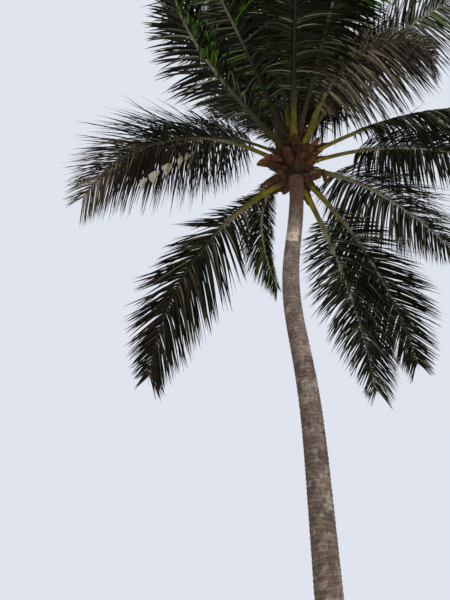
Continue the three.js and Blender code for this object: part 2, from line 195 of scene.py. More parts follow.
def makeStage():
    lens = bpy.data.cameras.new("camera")
    lens.lens, lens.sensor_width, lens.clip_end = view["lens"], view["sensor"], view["reach"]
    camera = addObject("camera", lens)
    camera.location = view["place"]
    camera.rotation_euler = (math.radians(90 + view["pitch"]), 0, 0)
    scene.camera = camera
    scene.view_settings.view_transform = "Standard"

    world = bpy.data.worlds.new("studio")
    scene.world = world
    world.use_nodes = True
    # the backdrop is bright behind the crown, while softer light falls on it
    seen = addNode(world.node_tree, "ShaderNodeLightPath").outputs["Is Camera Ray"]
    level = addNode(world.node_tree, "ShaderNodeMapRange", {
        "Value": seen, "To Min": stageLook["skyLight"], "To Max": stageLook["backdrop"]}).outputs[0]
    backdrop = world.node_tree.nodes["Background"]
    backdrop.inputs["Color"].default_value = linear(stageLook["sky"])
    world.node_tree.links.new(level, backdrop.inputs["Strength"])

    lamp = bpy.data.lights.new("sun", "SUN")
    lamp.energy, lamp.angle = stageLook["sun"], math.radians(stageLook["sunAngle"])
    addObject("sun", lamp).rotation_euler = [math.radians(a) for a in stageLook["sunTurn"]]

    half = stageLook["floor"]
    corners = [(-half, -half, 0), (half, -half, 0), (half, half, 0), (-half, half, 0)]
    mesh = meshOf("floor", corners, [(0, 1, 2, 3)])
    paint = bpy.data.materials.new("mattPaint")
    paint.use_nodes = True
    surface = paint.node_tree.nodes["Principled BSDF"]
    surface.inputs["Base Color"].default_value = linear(stageLook["floorColour"])
    surface.inputs["Roughness"].default_value = stageLook["floorRough"]
    mesh.materials.append(paint)
    floor = addObject("floor", mesh)


makeStage()
print("stage set")


def layered(tree, read, layers):
    # Colours laid over one another: how much of each shows, its colour, and how it is laid on.
    # A tuple is a reading with the stops of a ramp over it, and a list is multiplied out.
    def found(value):
        if isinstance(value, str):
            return linear(value) if value.startswith("#") else read[value]
        if isinstance(value, tuple):
            return addNode(tree, "ShaderNodeValToRGB", {"Fac": read[value[0]]}, value[1:]).outputs["Color"]
        if isinstance(value, list):
            product = found(value[0])
            for factor in value[1:]:
                product = addNode(tree, "ShaderNodeMix", {0: 1.0, 6: product, 7: found(factor)},
                                  data_type="RGBA", blend_type="MULTIPLY").outputs[2]
            return product
        return value

    skin = found(layers[0])
    for amount, colour, manner in layers[1:]:
        skin = addNode(tree, "ShaderNodeMix", {0: found(amount), 6: skin, 7: found(colour)},
                       data_type="RGBA", blend_type=manner).outputs[2]
    return skin


def makeMaterial(name, look):
    # patterns: noises, each with its number to a metre, detail, roughness and stretch up the plant
    # shares: point attributes; relief: a pattern, its height in metres and its strength
    material = bpy.data.materials.new(name)
    material.use_nodes = True
    tree = material.node_tree
    surface = tree.nodes["Principled BSDF"]
    place = addNode(tree, "ShaderNodeTexCoord").outputs["Object"]
    read = {}
    for key in look["shares"]:
        read[key] = addNode(tree, "ShaderNodeAttribute", attribute_name=key).outputs["Fac"]
    for key, (scale, detail, rough, stretch) in look["patterns"].items():
        spot = place
        if stretch != 1:
            spot = addNode(tree, "ShaderNodeMapping", {"Vector": place, "Scale": (1, 1, stretch)}).outputs[0]
        read[key] = addNode(tree, "ShaderNodeTexNoise", {
            "Vector": spot, "Scale": scale, "Detail": detail, "Roughness": rough}).outputs["Fac"]
    tree.links.new(layered(tree, read, look["layers"]), surface.inputs["Base Color"])
    surface.inputs["Specular IOR Level"].default_value = look["shine"]
    if isinstance(look["rough"], tuple):
        tree.links.new(layered(tree, read, [look["rough"]]), surface.inputs["Roughness"])
    else:
        surface.inputs["Roughness"].default_value = look["rough"]
    pattern, height, strength = look["relief"]
    bump = addNode(tree, "ShaderNodeBump", {"Height": read[pattern], "Distance": height, "Strength": strength})
    tree.links.new(bump.outputs[0], surface.inputs["Normal"])
    return material


# Palm leaf: a waxy cuticle over ribbed green tissue, so it is dark with a soft pale shine.
# Each colour of the crown has its base, its shade and its range of roughness.
leafColours = {
    "deepGreen": ("#171f05", "#0b1002", (0.28, 0.48)),
    "olive": ("#2a290c", "#181705", (0.30, 0.50)),
    "freshGreen": ("#55801c", "#38590e", (0.30, 0.46)),
    "brown": ("#473524", "#2c2014", (0.55, 0.75)),
    "plum": ("#33241d", "#211713", (0.50, 0.70)),
    "ash": ("#64564a", "#463b33", (0.60, 0.80)),
    "tan": ("#c2b092", "#8a775d", (0.55, 0.75)),
    "straw": ("#fbf4e4", "#cfc4ac", (0.70, 0.90)),  # only for the scraps
    # painted reflection: these pale grey leaflets stand for the bright sky's sheen on glossy leaflets
    "paintedSheen": ("#8d8f8b", "#51554d", (0.30, 0.45)),
}


def leafLook(base, shade, rough):
    return {
        # veins are really 1 to 2 mm apart, drawn coarser so that they show
        "patterns": {"blotches": (9, 3, 0.55, 1), "wear": (40, 3, 0.55, 1), "veins": (1 / 0.007, 2, 0.55, 1)},
        "shares": ("tone", "ridgeShare"),
        "layers": [
            ("blotches", (0.35, shade), (0.65, base)),
            # painted highlight and painted shade: leaflets with a high tone are painted pale along their
            # ridges, where the midrib is pale too, as the sky's reflection, and leaflets with a low tone are
            # darkened as shade; on the scraps the same tone paints their streaks
            ([("tone", (0.45, 0.0), (0.9, 0.75)), ("ridgeShare", (0.45, 0.10), (0.9, 1.0))], "#b5b49c", "MIX"),
            (1.0, ("tone", (0.0, 0.45), (0.4, 1.0)), "MULTIPLY"),
        ],
        "shine": 0.16, "rough": ("wear", (0.3, rough[0]), (0.7, rough[1])), "relief": ("veins", 0.0006, 0.5),
    }


# Frond stalk: smooth hard green skin, yellow beneath and brown at its margins, so it shines a little.
stalkLook = {
    "patterns": {"mottle": (14, 3, 0.55, 1), "grain": (1 / 0.006, 3, 0.55, 1)},
    "shares": ("alongShare", "sideShare", "shadeShare"),
    "layers": [
        # along the stalk: a brown foot, a yellow-green stalk, and a rib that pales towards its tip, its own
        # colour with a painted highlight of the sky's sheen
        ("alongShare", (0.0, "#4c3319"), (0.035, "#4c3319"), (0.06, "#8b7c10"),
         (0.15, "#656212"), (0.27, "#7d7850"), (0.55, "#aaa38c")),
        # painted shade: stalks and ribs in the crown's shade are darkened by shadeShare
        ("shadeShare", "#15150a", "MIX"),
        (0.75, ("mottle", (0.3, "#8a7f70"), (0.62, "#ffffff")), "MULTIPLY"),
        (("sideShare", (0.80, 0.0), (0.97, 0.85)), "#4a2f17", "MIX"),
    ],
    "shine": 0.2, "rough": 0.45, "relief": ("grain", 0.001, 0.4),
}

# Fibrous bark, weathered grey and dull: ring scars with fine cracks down the stem, and brown where
# leaves have dropped lately. Its pale patch is where the outer skin has come away.
barkLook = {
    "patterns": {"blotches": (3.2, 5, 0.6, 1), "scuffs": (7, 5, 0.65, 1), "cracks": (1 / 0.014, 4, 0.65, 0.16),
                 "rust": (13, 4, 0.55, 1), "specks": (34, 2, 0.55, 1), "mottle": (1 / 0.05, 4, 0.6, 0.7),
                 "lips": (8, 3, 0.55, 1), "grooves": (6, 3, 0.55, 1)},
    "shares": ("scarDepth", "youngShare", "bareShare", "oldShare"),
    "layers": [
        ("blotches", (0.32, "#67584e"), (0.5, "#857469"), (0.68, "#a3958a")),
        ("oldShare", "#ccc4be", "MULTIPLY"),
        (("scuffs", (0.50, 0.0), (0.64, 0.55)), "#b8aaa0", "MIX"),
        ("youngShare", "#6e4a2e", "MIX"),
        ("bareShare", "#f2dcc6", "MIX"),
        (0.4, ("cracks", (0.38, "#a39a93"), (0.56, "#ffffff")), "MULTIPLY"),
        (("rust", (0.56, 0.0), (0.66, 0.5)), "#7c553c", "MIX"),
        (("specks", (0.70, 0.0), (0.76, 0.6)), "#b9b2a8", "MIX"),  # lichen
        (0.8, ("mottle", (0.36, "#a59b94"), (0.60, "#ffffff")), "MULTIPLY"),
        # painted highlight: the raised lips of the ring scars are paler
        ([("scarDepth", (0.80, 0.0), (0.98, 0.17)), ("lips", (0.42, 0.0), (0.62, 1.0))], "#b9b2a8", "MIX"),
        # painted shade: the grooves under the ring scars are darkened, less on the old grey bark lower down
        ([("scarDepth", (0.03, 0.55), (0.6, 0.0)), ("oldShare", (0.15, 1.0), (1.0, 0.45)),
          ("grooves", (0.38, 0.15), (0.6, 1.0))], "#4d4038", "MIX"),
    ],
    "shine": 0.5, "rough": 0.92, "relief": ("cracks", 0.004, 0.5),
}


# Matted leaf base fibre and dry woody husk: dull, rusty brown, with strands along the grain.
def fibreLook(light, mid, dark, rust, strand, stretch):
    return {
        # strands are really finer than 1 mm, drawn coarser so that they show
        "patterns": {"strands": (1 / strand, 4, 0.6, stretch), "patches": (17, 4, 0.55, 1)},
        "shares": ("tone",),
        "layers": [
            ("strands", (0.30, dark), (0.50, mid), (0.68, light)),
            ("tone", rust, "MIX"),
            (0.9, ("patches", (0.36, "#4c3f36"), (0.52, "#b0a59c"), (0.62, "#ffffff")), "MULTIPLY"),
        ],
        "shine": 0.5, "rough": 0.9, "relief": ("strands", 0.004, 0.9),
    }


leafMaterials = {name: makeMaterial("palmLeaf_" + name, leafLook(*row)) for name, row in leafColours.items()}
stalkSkin = makeMaterial("palmStalk", stalkLook)
bark = makeMaterial("ringedBark", barkLook)
fibre = makeMaterial("leafBaseFibre", fibreLook("#7f5220", "#4a2a09", "#160b01", "#92561a", 0.008, 0.35))
husk = makeMaterial("dryHusk", fibreLook("#7c5324", "#482a0d", "#180d03", "#94561c", 0.010, 0.3))
print("materials made")

# Trunk: the source's rule, with ring scars worn into it by Geometry Nodes.
trunk = {"height": 8.95, "radiusAtGround": 0.178, "taper": 0.0073, "flareRadius": 0.112,
         "flareHeight": 0.42, "neckSwell": 0.016, "neckFrom": 8.5, "bow": -0.146, "bowHeight": 6.6,
         "bowSpread": 1.2, "shift": 0.08, "shiftFrom": 7.0, "shiftTo": 9.0,
         "rows": 1080, "sides": 84, "skinInset": 0.004}
# between which heights the bark turns brown and young, or grey and old, and by how much
barkAge = {"young": (7.9, 8.4, 0.9), "old": (4.6, 6.6, 0.85), "plainEnds": 0.02}
# the bare patch: the side it is on, its crescent lower edge, and where it fades and ends
barePatch = {"turn": 52, "side": (0.15, 0.45), "edge": 7.63, "edgeTilt": 0.13, "edgeWave": 0.008, "waves": 7,
             "crisp": 0.012, "fade": (7.62, 7.84, 0.75), "end": (7.86, 8.10)}
scars = {"Ring Spacing": 0.060, "Ring Depth": 0.006, "Ring Tilt": 0.018, "Ring Wander": 0.060,
         "Wander Scale": 2.6, "Lump Height": 0.010, "Lump Scale": 13.0, "Seed": 4.0}


def trunkCentre(height):
    away = (height - trunk["bowHeight"]) / trunk["bowSpread"]
    shift = trunk["shift"] * smooth(trunk["shiftFrom"], trunk["shiftTo"], height)
    return trunk["bow"] * np.exp(-away * away) + shift


def trunkRadius(height):
    flare = trunk["flareRadius"] * np.exp(-(height / trunk["flareHeight"]) ** 2)
    neck = trunk["neckSwell"] * smooth(trunk["neckFrom"], trunk["height"], height)
    return trunk["radiusAtGround"] - trunk["taper"] * height + flare + neck


def bareShare(heights, turns):
    left = smooth(*barePatch["side"], -np.cos(turns - math.radians(barePatch["turn"])))
    wave = barePatch["edgeWave"] * np.sin(barePatch["waves"] * turns)
    lower = barePatch["edge"] + barePatch["edgeTilt"] * np.sin(turns) + wave
    low, high, amount = barePatch["fade"]
    bare = left * smooth(0, barePatch["crisp"], heights - lower) * (1 - amount * smooth(low, high, heights))
    return bare * (1 - smooth(*barePatch["end"], heights))


def trunkSkin():
    height = np.linspace(0, trunk["height"], trunk["rows"])
    centre = trunkCentre(height)
    radius = trunkRadius(height) - trunk["skinInset"]
    z, a = np.meshgrid(height, roundTurn(trunk["sides"]), indexing="ij")
    points = np.stack([centre[:, None] + radius[:, None] * np.cos(a), radius[:, None] * np.sin(a), z], -1)
    ends = [(centre[0], 0, 0), (centre[-1], 0, trunk["height"])]
    heights = np.append(z.ravel(), [0, trunk["height"]])
    turns = np.append(a.ravel(), [0, 0])
    youngLow, youngHigh, young = barkAge["young"]
    oldLow, oldHigh, old = barkAge["old"]
    margin = barkAge["plainEnds"]
    free = smooth(0, margin, heights) * (1 - smooth(trunk["height"] - margin, trunk["height"], heights))
    values = {"stemHeight": heights, "stemTurn": turns, "bareShare": bareShare(heights, turns),
              "youngShare": smooth(youngLow, youngHigh, heights) * young,
              "oldShare": 1 - smooth(oldLow, oldHigh, heights) * old, "reliefShare": free}
    return meshOf("trunkSkin", *closedTube(points, values, ends))


# across one ring: a sharp groove under the scar, a raised lip, then a slow fall to the next
scarProfile = ((0.0, 0.35), (0.0, 0.05), (0.10, 0.0), (0.26, 1.0), (0.62, 0.72), (1.0, 0.35))
# the relief worked out step by step: a name, an operation and its terms
scarSteps = (
    ("wander", "SUBTRACT", "wanderNoise", 0.5),
    ("lumps", "SUBTRACT", "lumpNoise", 0.5),
    ("lean", "MULTIPLY", "stemHeight", "Seed"),
    ("phase", "ADD", "stemTurn", "lean"),
    ("sway", "SINE", "phase"),
    ("tilt", "MULTIPLY", "sway", "Ring Tilt"),
    ("tilted", "ADD", "stemHeight", "tilt"),
    ("drift", "MULTIPLY", "wander", "Ring Wander"),
    ("level", "ADD", "tilted", "drift"),
    ("count", "DIVIDE", "level", "Ring Spacing"),
    ("part", "FRACT", "count"),
    ("depth", "PROFILE", "part"),
    ("worn", "MULTIPLY", "bareShare", 0.8),
    ("kept", "SUBTRACT", 1.0, "worn"),
    ("step", "SUBTRACT", "depth", 0.6),
    ("cut", "MULTIPLY", "step", "Ring Depth"),
    ("ring", "MULTIPLY", "cut", "kept"),
    ("lump", "MULTIPLY", "lumps", "Lump Height"),
    ("rough", "ADD", "ring", "lump"),
    ("lift", "MULTIPLY", "rough", "reliefShare"),
)


def scarTree():
    tree, given = treeOf("ringScars", {key: "Float" for key in scars})
    read = {key: given[key] for key in scars}
    for key in ("stemHeight", "stemTurn", "reliefShare", "bareShare"):
        read[key] = addNode(tree, "GeometryNodeInputNamedAttribute", {"Name": key}).outputs["Attribute"]
    place = addNode(tree, "GeometryNodeInputPosition").outputs[0]
    for key, scale, detail in (("wanderNoise", "Wander Scale", 2.0), ("lumpNoise", "Lump Scale", 3.0)):
        read[key] = addNode(tree, "ShaderNodeTexNoise", {
            "Vector": place, "Scale": read[scale], "Detail": detail}).outputs["Fac"]
    for name, operation, *terms in scarSteps:
        links = {i: read.get(term, term) for i, term in enumerate(terms)}
        if operation == "PROFILE":
            node = addNode(tree, "ShaderNodeFloatCurve", {"Value": links[0]})
            points = node.mapping.curves[0].points
            for at, up in scarProfile[1:-1]:
                points.new(at, up)
            points[0].location, points[-1].location = scarProfile[0], scarProfile[-1]
            node.mapping.update()
        else:
            node = addNode(tree, "ShaderNodeMath", links, operation=operation)
        read[name] = node.outputs[0]
    normal = addNode(tree, "GeometryNodeInputNormal").outputs[0]
    offset = addNode(tree, "ShaderNodeVectorMath", {0: normal, 3: read["lift"]}, operation="SCALE").outputs[0]
    stored = addNode(tree, "GeometryNodeStoreNamedAttribute", {
        "Geometry": given["Geometry"], "Name": "scarDepth", "Value": read["depth"]}, domain="POINT")
    moved = addNode(tree, "GeometryNodeSetPosition", {"Geometry": stored.outputs[0], "Offset": offset})
    closeTree(tree, moved.outputs[0], bark)
    return tree


addPiece("trunk_bark", grownMesh(trunkSkin(), scarTree(), scars), bark, ["trunk"], sharp=50)

# The heart of the crown is a column of old leaf bases. Its profile gives the radius by height, and
# its lumps are waves, each with its number round and up the column and its shift.
seatGap = 0.0003  # the air that the source leaves between its solids
crownX = float(trunkCentre(np.array(trunk["height"])))
crownFoot = trunk["height"] + seatGap
column = {"profile": [(0, 0.132), (0.09, 0.172), (0.3, 0.205), (0.62, 0.192), (0.83, 0.150),
                      (1.01, 0.104), (1.09, 0.078)],
          "rows": 110, "sides": 96, "lobes": 11, "lobeWind": 9, "lobeHeight": 0.010, "lobeMean": 1.2,
          "lumps": ((3, 21, 0.4), (5, -33, 1.9), (8, 47, 4.0)), "lumpHeight": 0.009,
          "plainFoot": 0.05, "plainTop": (1.0, 1.08)}


def columnRadius(height):
    return np.interp(height, *np.array(column["profile"]).T)


def columnSkin():
    height = np.linspace(0, column["profile"][-1][0], column["rows"])
    z, a = np.meshgrid(height, roundTurn(column["sides"]), indexing="ij")
    # lobes that wind round the column both ways, where leaf bases overlap
    each, wind = column["lobes"] / 2 * a, column["lobeWind"] * z
    lobes = np.abs(np.sin(each + wind)) + np.abs(np.sin(each - wind + 1))
    lumps = sum(np.sin(k * a + m * z + p) for k, m, p in column["lumps"]) / 3
    relief = column["lobeHeight"] * (lobes - column["lobeMean"]) + column["lumpHeight"] * lumps
    free = np.minimum(smooth(0, column["plainFoot"], z), 1 - smooth(*column["plainTop"], z))
    radius = columnRadius(z) + free * relief
    points = np.stack([crownX + radius * np.cos(a), radius * np.sin(a), crownFoot + z], -1)
    ends = [(crownX, 0, crownFoot), (crownX, 0, crownFoot + height[-1])]
    return meshOf("columnSkin", *closedTube(points, None, ends))


# Loose fibres of the matted leaf bases, scattered by Geometry Nodes.
strands = {"Density": 900.0, "Strand Length": 0.17, "Strand Radius": 0.0022, "Bow": 0.022, "Spread": 0.75,
           "Smallest": 0.5, "Largest": 1.3, "Seed": 3}
sheathStrands = {**strands, "Density": 260.0, "Strand Length": 0.11, "Seed": 8}


def strandTree(material):
    kinds = {key: "Int" if key == "Seed" else "Float" for key in strands}
    tree, given = treeOf("fibreStrands", kinds)
    spots = addNode(tree, "GeometryNodeDistributePointsOnFaces", {
        "Mesh": given["Geometry"], "Density": given["Density"], "Seed": given["Seed"]})
    half = addNode(tree, "ShaderNodeMath", {0: given["Strand Length"], 1: 0.5}, operation="MULTIPLY").outputs[0]
    back = addNode(tree, "ShaderNodeMath", {0: half, 1: -1.0}, operation="MULTIPLY").outputs[0]
    start = addNode(tree, "ShaderNodeCombineXYZ", {"X": back}).outputs[0]
    middle = addNode(tree, "ShaderNodeCombineXYZ", {"Z": given["Bow"]}).outputs[0]
    end = addNode(tree, "ShaderNodeCombineXYZ", {"X": half, "Z": given["Strand Radius"]}).outputs[0]
    path = addNode(tree, "GeometryNodeCurveQuadraticBezier", {
        "Resolution": 5, "Start": start, "Middle": middle, "End": end}).outputs[0]
    ring = addNode(tree, "GeometryNodeCurvePrimitiveCircle", {
        "Resolution": 3, "Radius": given["Strand Radius"]}).outputs[0]
    strand = addNode(tree, "GeometryNodeCurveToMesh", {"Curve": path, "Profile Curve": ring, "Fill Caps": True})
    upright = addNode(tree, "FunctionNodeAlignRotationToVector", {
        "Rotation": spots.outputs["Rotation"], "Vector": (0.0, 0.0, 1.0)}, axis="X", pivot_axis="Z")
    reach = addNode(tree, "ShaderNodeMath", {0: given["Spread"], 1: -1.0}, operation="MULTIPLY").outputs[0]
    turn = addNode(tree, "FunctionNodeRandomValue", {
        2: reach, 3: given["Spread"], "Seed": given["Seed"]}, data_type="FLOAT")
    by = addNode(tree, "ShaderNodeCombineXYZ", {"Z": turn.outputs[1]}).outputs[0]
    byTurn = addNode(tree, "FunctionNodeEulerToRotation", {0: by}).outputs[0]
    turned = addNode(tree, "FunctionNodeRotateRotation", {
        0: upright.outputs[0], 1: byTurn}, rotation_space="LOCAL")
    size = addNode(tree, "FunctionNodeRandomValue", {
        2: given["Smallest"], 3: given["Largest"], "Seed": given["Seed"]}, data_type="FLOAT")
    placed = addNode(tree, "GeometryNodeInstanceOnPoints", {
        "Points": spots.outputs["Points"], "Instance": strand.outputs[0],
        "Rotation": turned.outputs[0], "Scale": size.outputs[1]})
    closeTree(tree, placed.outputs[0], material)
    return tree


# Fronds: the source's rule, in metres and degrees. Threes in the rib are at its foot, at the end of
# the stalk and at the tip, and pairs are where a change starts and ends.
rib = {"petiole": 1.08, "halfWidth": (0.062, 0.038, 0.006), "halfThickness": (0.046, 0.030, 0.005),
       "narrowing": 0.6, "rootDepth": 0.045, "step": 0.010, "point": 0.33, "pointShare": 0.8,
       "pointDrop": 0.06, "sides": 12, "sections": 46, "crowding": 1.15, "clasp": 0.085,
       "claspLength": 0.21, "claspDepth": 0.02, "stout": 1.1, "stoutEnds": (0.9, 1.8), "youngSlim": 0.35,
       "ridge": (0.55, 1.5), "ridgeHeight": 0.75, "topHeight": 0.35, "hollow": 0.25, "ridgeNarrow": 0.25,
       "keelPower": 0.85, "margin": (0.3, 1.3)}
leaflet = {"length": 0.275, "shortest": 0.4, "fullest": 0.75, "forward": (72, 40), "stiffEnds": 0.5,
           "lift": 14, "perSide": 178, "first": 0.92, "firstShare": 0.4, "lastShare": 0.955, "jitter": 0.3,
           "segments": 6, "halfWidth": 0.0195, "narrowEnds": 0.62, "thickness": 0.0032, "thinning": 0.6,
           "fold": 0.6, "twist": 14, "twistSpread": 28, "twistFrom": 0.3, "twistGain": 0.9,
           "angleSpread": 4.0, "bunchSpread": 3.0, "lengthSpread": 0.208, "longest": 0.75,
           "hangSpread": 0.24, "bunchHang": 0.12, "liftSpread": 4, "bunchLift": 5, "converge": 0.3,
           # pale and paintedGlareTone: the share of leaflets given a painted highlight, and how far it raises
           # their tone
           "stiffness": 0.6, "rootOut": 0.6, "rootUp": 0.35, "pale": 0.14, "tone": (0.35, 0.16),
           "paintedGlareTone": 0.45}
# half width along a leaflet, as a share of the greatest
leafletOutline = ((0, 0.5), (0.06, 0.85), (0.2, 1.0), (0.4, 0.96), (0.6, 0.78), (0.8, 0.47), (1, 0.03))

# azimuth, rise, droop, length, sweep, base, lateness, roll, hang
frondRows = [
    (60, -14, 46, 4.70, 10, 0.100, 1.5, 0, 2.6),
    (138, 0, 88, 5.00, -20, 0.150, 1.5, -10, 1.7),
    (46, -10, 50, 4.60, 14, 0.222, 1.5, 0, 2.6),
    (43, 34, 76, 4.90, -16, 0.335, 1.5, 0, 1.7),
    (166, 46, 123, 4.90, -10, 0.400, 1.7, 5, 1.6),
    (14, 33, 62, 4.80, -5, 0.410, 1.5, -10, 1.5),
    (-48, 62, 190, 3.90, 60, 0.455, 2.2, 0, 2),
    (110, 26, 75, 3.90, -56, 0.430, 1.5, -25, 3.0),
    (-129, -1, 55, 4.50, 62, 0.480, 2.5, -50, 3.4),
    (-94, 28, 50, 4.60, 4, 0.560, 1.5, 0, 1.6),
    (-16, 22, 73, 4.65, 8, 0.500, 1.5, -30, 1.8),
    (-74, 39, 44, 4.80, -8, 0.690, 1.5, 0, 2.6),
    (-127, 49, 45, 4.80, 6, 0.680, 1.5, -25, 1.2),
    (-23, 56, 49, 4.80, 1, 0.720, 1.5, 25, 1.7),
    (154, 50, 82, 4.50, -2, 0.620, 1.5, 0, 2),
    (84, 78, 44, 4.60, -6, 0.650, 1.5, 0, 1.4),
    (6, 74, 44, 4.55, -5, 0.590, 1.5, 0, 1.4),
    (118, 76, 52, 4.50, 3, 0.760, 1.5, 0, 1.2),
    (52, 76, 50, 4.50, -4, 0.790, 1.5, 0, 1.2),
    (-60, 60, 54, 4.50, 4, 0.810, 1.5, 0, 1.8),
    (-108, 62, 56, 4.50, -5, 0.820, 1.5, 0, 1.8),
    (190, 74, 46, 4.30, 3, 0.740, 1.5, 0, 1.2),
    (36, 82, 38, 4.20, -4, 0.900, 1.5, 0, 0.9),
    (165, 81, 38, 4.15, 5, 0.900, 1.5, 0, 0.8),
    (-66, 80, 40, 4.20, 4, 0.920, 1.5, 0, 0.8),
    (-146, 78, 42, 4.25, -4, 0.900, 1.5, 0, 0.8),
    (100, 83, 34, 4.10, 3, 0.930, 1.5, 0, 0.7),
]
# how the two rows of leaflets of some fronds differ from the plain ones: (left, right) of the rib
frondSides = {
    1: {"hang": (0.6, 2.0), "lift": (30, 14), "reach": (0.80, 1.0), "spread": (10, 0)},
    2: {"hang": (0.5, 2.4), "lift": (-25, 14), "reach": (0.85, 1.05)},
    3: {"hang": (2.0, 0.6), "lift": (0, -10), "reach": (0.90, 0.90), "spread": (0, 5)},
    5: {"hang": (0.8, 2.0), "lift": (-5, 0), "reach": (1.2, 1.15), "spread": (0, -12)},
    6: {"reach": (0.80, 1.0)},
    7: {"lift": (14, 20), "reach": (1.0, 0.85), "taper": (0, 0.3)},
    8: {"hang": (3.0, 1.4), "lift": (0, 0), "reach": (0.85, 0.40)},
    9: {"hang": (3.4, 1.2), "lift": (14, 80), "reach": (1.0, 0.9), "spread": (0, 10), "taper": (0, 0.65)},
    10: {"reach": (0.72, 0.72)},
    11: {"hang": (1.8, 2.6), "lift": (14, -5), "reach": (1.0, 0.75)},
    12: {"reach": (0.78, 0.55)},
    20: {"reach": (0.75, 0.55)},
}
# how wide the leaflets of some fronds are beside the rest, and the share of them painted with a highlight along
# their ridges
leafletWidths = {7: 0.5, 5: 0.8, 2: 1.2}
paintedGlareShares = {2: 0.06, 4: 0.22, 5: 0.08, 6: 0.22, 7: 0.30, 8: 0.22, 9: 0.07, 10: 0.07, 12: 0.04,
              13: 0.10, 14: 0.5, 20: 0.04}
# how far out the first small leaflets stand, where not as usual
firstLeaflets = {2: 0.60, 4: 1.08, 6: 1.25, 8: 0.60, 9: 0.45, 12: 0.6, 13: 0.6, 20: 0.6, 21: 0.7}
frondKeys = ("azimuth", "rise", "droop", "length", "sweep", "base", "lateness", "roll", "hang")
fronds = [dict(zip(frondKeys, row), number=i + 1) for i, row in enumerate(frondRows)]


def sideValue(frond, key, side):
    # side: -1 for the left row of leaflets and 1 for the right one
    plain = {"hang": (frond["hang"],) * 2, "lift": (leaflet["lift"],) * 2, "reach": (1, 1),
             "spread": (0, 0), "taper": (0, 0)}
    return frondSides.get(frond["number"], plain).get(key, plain[key])[0 if side < 0 else 1]


# colours dealt out by spray: up to which share of the blade, and the chance of each colour there
plainDeal = [(1.0, {"deepGreen": 0.62, "olive": 0.36, "brown": 0.02})]
darkMix = {"deepGreen": 0.65, "olive": 0.35}
# painted light: this fresh green mix stands for leaflets lit through from behind by the sun
backlitMix = {"freshGreen": 0.55, "deepGreen": 0.3, "olive": 0.15}
frondDeals = {
    2: [(0.35, {"deepGreen": 0.6, "olive": 0.4}),
        (1.0, {"deepGreen": 0.3, "plum": 0.3, "brown": 0.25, "olive": 0.15})],
    (5, -1): [(0.52, {"deepGreen": 0.8, "olive": 0.2}),
              (0.68, {"deepGreen": 0.25, "brown": 0.45, "ash": 0.3}),
              (1.0, {"brown": 0.3, "ash": 0.55, "tan": 0.15})],
    (5, 1): [(0.3, {"deepGreen": 0.45, "brown": 0.45, "olive": 0.1}),
             (0.68, {"plum": 0.55, "brown": 0.25, "deepGreen": 0.2}),
             (1.0, {"ash": 0.5, "tan": 0.35, "brown": 0.15})],
    # painted highlight: the tan leaflets of frond 7 stand for the sky's sheen on glossy leaflets
    (7, -1): [(0.5, {"plum": 0.4, "brown": 0.35, "tan": 0.25}), (1.0, {"plum": 0.8, "brown": 0.2})],
    (7, 1): [(0.55, {"plum": 0.4, "brown": 0.15, "tan": 0.45}),
             (1.0, {"plum": 0.75, "brown": 0.15, "tan": 0.10})],
    8: [(0.5, {"deepGreen": 0.8, "olive": 0.2}),
        (1.0, {"deepGreen": 0.3, "freshGreen": 0.35, "olive": 0.35})],
    13: [(0.45, {"deepGreen": 0.6, "olive": 0.3, "freshGreen": 0.1}), (1.0, backlitMix)],
    # painted reflection: the pale grey leaflets of frond 14 stand for the sky's sheen on them
    14: [(0.4, {"deepGreen": 0.5, "paintedSheen": 0.3, "olive": 0.2}),
         (1.0, {"paintedSheen": 0.5, "freshGreen": 0.12, "deepGreen": 0.25, "olive": 0.13})],
    (9, -1): [(0.30, {"deepGreen": 0.7, "olive": 0.3}), (0.85, backlitMix),
              (1.0, {"deepGreen": 0.6, "freshGreen": 0.4})],
    11: [(0.6, {"deepGreen": 0.6, "olive": 0.4}),
         (1.0, {"freshGreen": 0.3, "deepGreen": 0.45, "olive": 0.25})],
    (12, -1): [(0.35, darkMix), (0.7, {"freshGreen": 0.5, "deepGreen": 0.35, "olive": 0.15}), (1.0, darkMix)],
    (20, -1): [(0.40, darkMix), (0.75, {"freshGreen": 0.6, "deepGreen": 0.4}), (1.0, darkMix)],
}


def frameOf(azimuth, rise, roll):
    a, e, r = np.radians(azimuth), np.radians(rise), np.radians(roll)
    along = np.array([math.cos(e) * math.cos(a), math.cos(e) * math.sin(a), math.sin(e)])
    side = np.array([math.sin(a), -math.cos(a), 0])
    above = np.array([-math.sin(e) * math.cos(a), -math.sin(e) * math.sin(a), math.cos(e)])
    return along, side * math.cos(r) + above * math.sin(r), above * math.cos(r) - side * math.sin(r)


def rootOf(azimuth, base):
    # where a stalk starts, a little inside the column
    out = columnRadius(base) - rib["rootDepth"]
    a = math.radians(azimuth)
    return np.array([crownX + out * math.cos(a), out * math.sin(a), crownFoot + base])


def ribStations(frond):
    place = rootOf(frond["azimuth"], frond["base"])
    count = round((frond["length"] - rib["point"]) / rib["step"])
    rows = [(place, *frameOf(frond["azimuth"], frond["rise"], frond["roll"]))]
    for i in range(count):
        bend = ((i + 0.5) * rib["step"] / frond["length"]) ** frond["lateness"]
        azimuth, rise = frond["azimuth"] + frond["sweep"] * bend, frond["rise"] - frond["droop"] * bend
        axes = frameOf(azimuth, rise, frond["roll"])
        place = place + axes[0] * rib["step"]
        rows.append((place, *axes))
    return [np.array(column) for column in zip(*rows)]


def ribHalf(sizes, mark, length):
    # half a width or thickness along a frond, from its three sizes
    stalk = between(sizes[:2], np.minimum(mark / rib["petiole"], 1) ** rib["narrowing"])
    blade = np.clip((mark - rib["petiole"]) / (length - rib["petiole"]), 0, 1)
    return np.where(mark < rib["petiole"], stalk, between(sizes[1:], blade))


# stalks thicker than the rest
stoutStalks = {2: 1.5, 4: 1.55, 5: 1.2, 6: 1.15, 7: 1.3, 11: 1.3}
